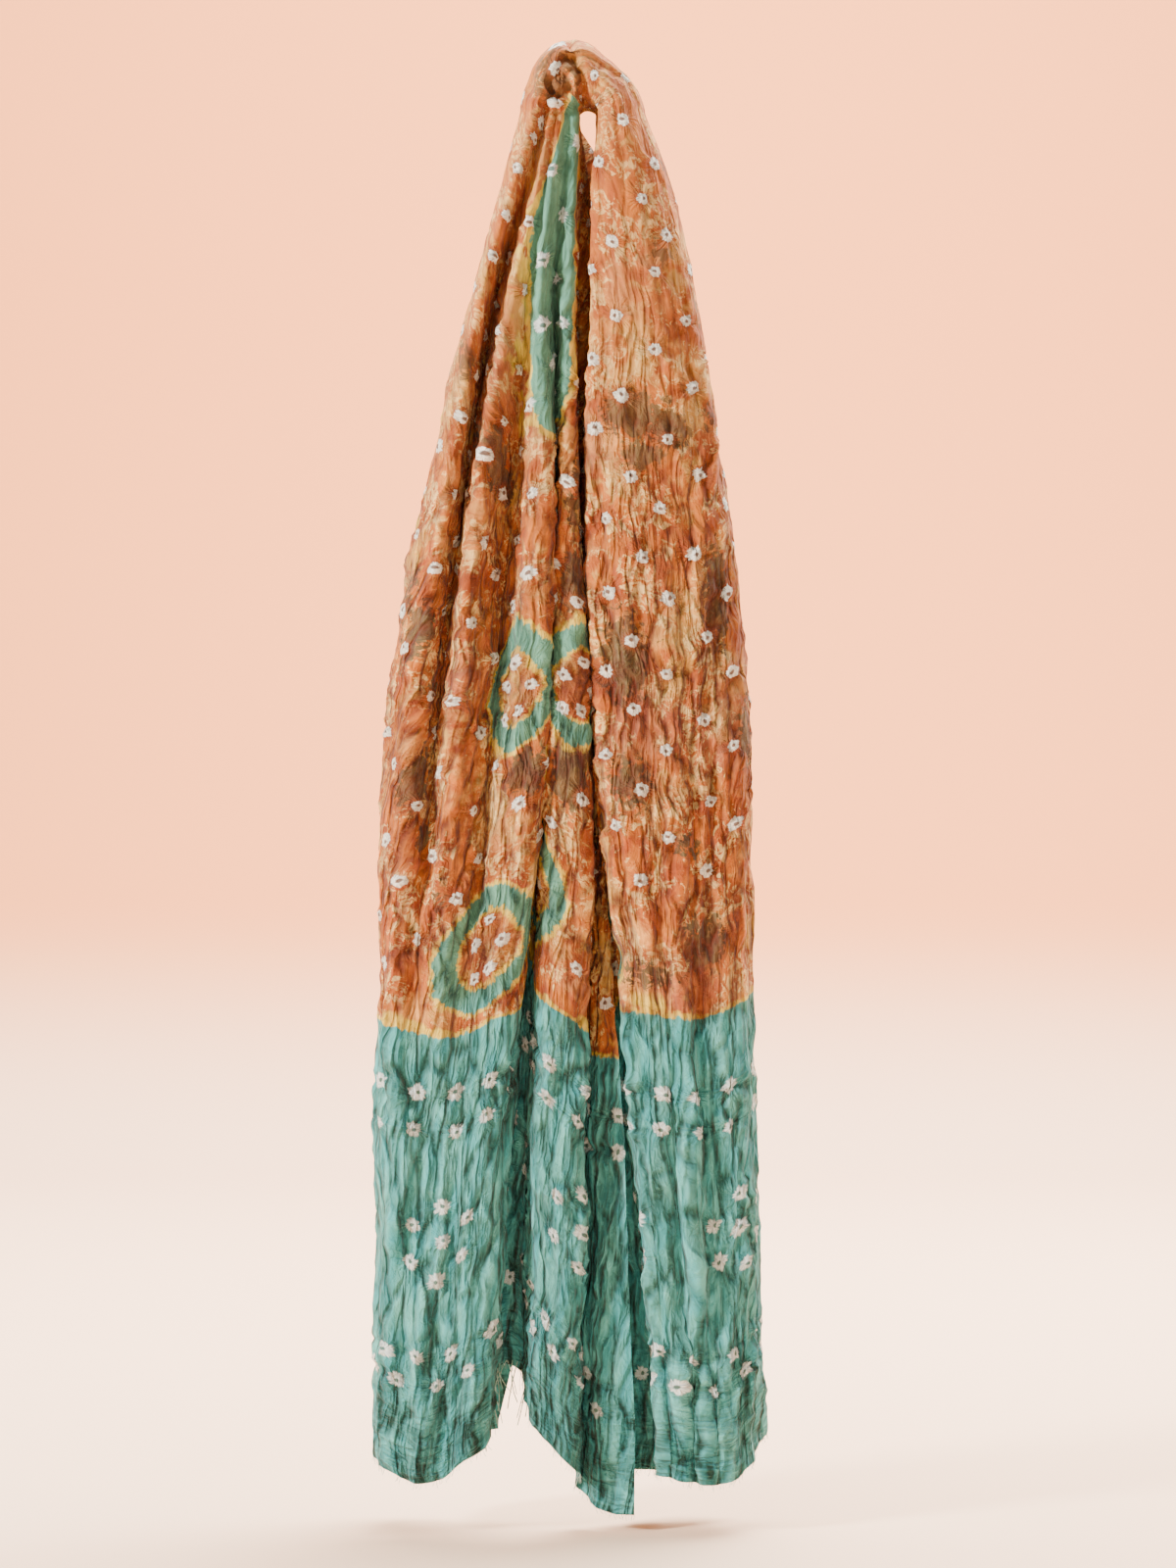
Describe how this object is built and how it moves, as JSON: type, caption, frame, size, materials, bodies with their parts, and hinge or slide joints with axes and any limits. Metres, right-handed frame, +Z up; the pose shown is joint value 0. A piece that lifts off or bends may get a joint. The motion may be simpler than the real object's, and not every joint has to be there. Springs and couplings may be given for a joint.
{
  "type": "bandhani cloth",
  "caption": "Crinkled tie-dyed cloth hung by its middle over a peg, its two halves falling in long uneven folds to raw hems with plain dyed end borders",
  "frame": {"origin": "on the cloth's underside at the middle of its length, where the peg bears", "axes": "+Z up and the longest extent, -Y the side that shows, +X to the viewer's right; the peg runs along Y"},
  "size_m": [0.3049, 0.1138, 1.1956],
  "materials": {
    "dyed_cotton": "thin crinkled cotton, matte, burnt orange tie-dye with green ends and cream tied spots"
  },
  "bodies": {
    "root": {"bandhani_cloth": "dyed_cotton"}
  },
  "joints": []
}
